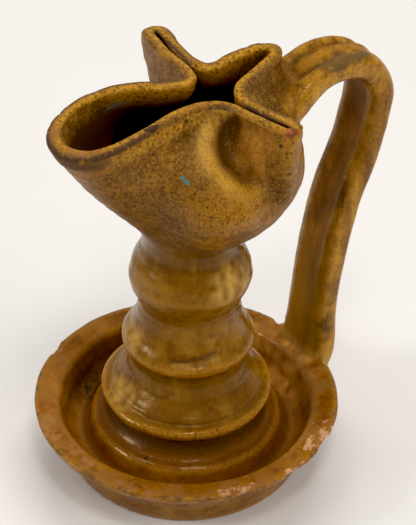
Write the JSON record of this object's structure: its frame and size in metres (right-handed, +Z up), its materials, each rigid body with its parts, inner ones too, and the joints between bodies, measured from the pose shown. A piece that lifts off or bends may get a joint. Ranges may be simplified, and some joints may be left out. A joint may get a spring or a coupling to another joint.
{
  "type": "oil lamp",
  "caption": "Footed glazed earthenware oil lamp: drip saucer, turned stem, pinched bowl with open wick spout and strap handle.",
  "frame": {"origin": "middle of the saucer's flat underside, on the surface that the lamp stands on", "axes": "+Z up along the stem, the wick spout points towards -Y and the strap handle is on the +Y side"},
  "size_m": [0.12, 0.1469, 0.1677],
  "materials": {
    "glaze": "honey-brown lead glaze with dark speckle, worn to red clay on the edges"
  },
  "bodies": {
    "root": {"oil_lamp": "glaze"}
  },
  "joints": []
}
